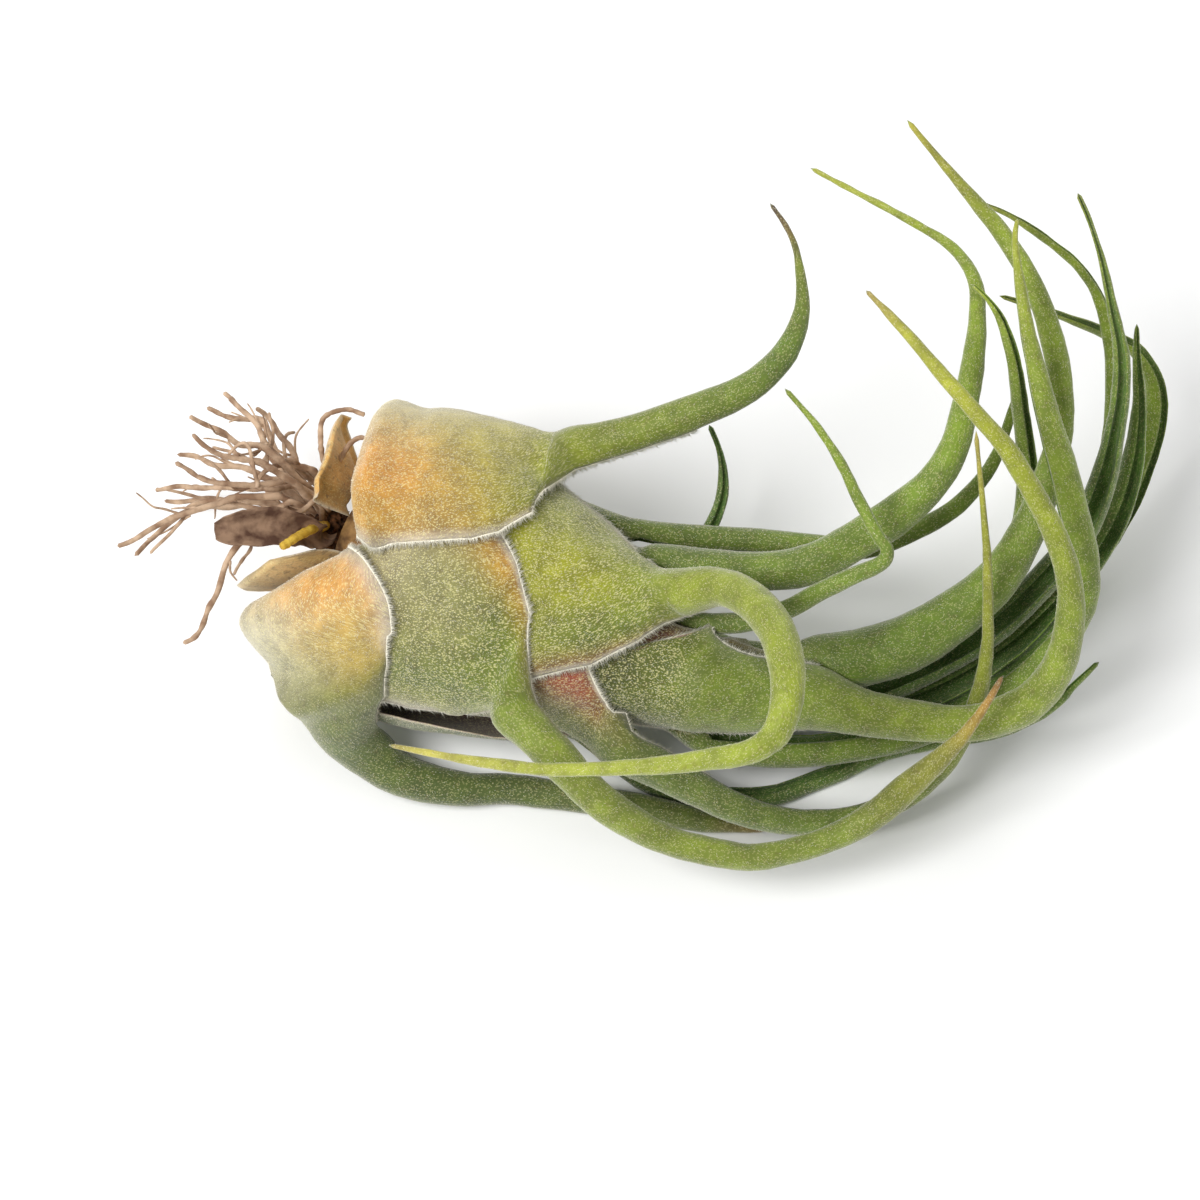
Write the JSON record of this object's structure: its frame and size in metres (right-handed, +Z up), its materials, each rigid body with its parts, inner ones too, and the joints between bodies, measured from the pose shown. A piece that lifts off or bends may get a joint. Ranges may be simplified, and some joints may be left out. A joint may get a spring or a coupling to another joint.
{
  "type": "tillandsia seleriana",
  "caption": "Air plant lying on its side: a swollen hollow bulb of nested leaf sheaths, long curling channelled blades and a tuft of dry wiry roots.",
  "frame": {"origin": "under the middle of the outline, on the surface that the plant lies on", "axes": "+X from the roots to the leaf tips, +Z up, -Y towards the viewer"},
  "size_m": [0.1552, 0.0978, 0.0682],
  "materials": {
    "leaf": "matt green under dense fine silvery scales, tan and ochre on the sheaths",
    "dry_sheath": "dry, papery, matt",
    "stem": "rough, matt",
    "root": "dry, wrinkled, matt",
    "dead_bract": "dry, papery, matt"
  },
  "bodies": {
    "root": {"leaf_upper_left": "leaf", "leaf_lower_left": "leaf", "leaf_front": "leaf", "leaf_back_short": "leaf", "leaf_looping": "leaf", "leaf_under_long": "leaf", "leaf_front_low": "leaf", "leaf_upper_thin": "leaf", "leaf_back_outer": "leaf", "leaf_long_front": "leaf", "leaf_back_hooked": "leaf", "leaf_right_front": "leaf", "leaf_upper_arched": "leaf", "leaf_tallest": "leaf", "leaf_right_low": "leaf", "leaf_kinked": "leaf", "leaf_right_tall": "leaf", "leaf_right_inner": "leaf", "old_sheath_upper": "dry_sheath", "old_sheath_lower": "dry_sheath", "stem": "stem", "roots": "root", "flower_stalk_stub": "dry_sheath", "dead_bract": "dead_bract"}
  },
  "joints": []
}
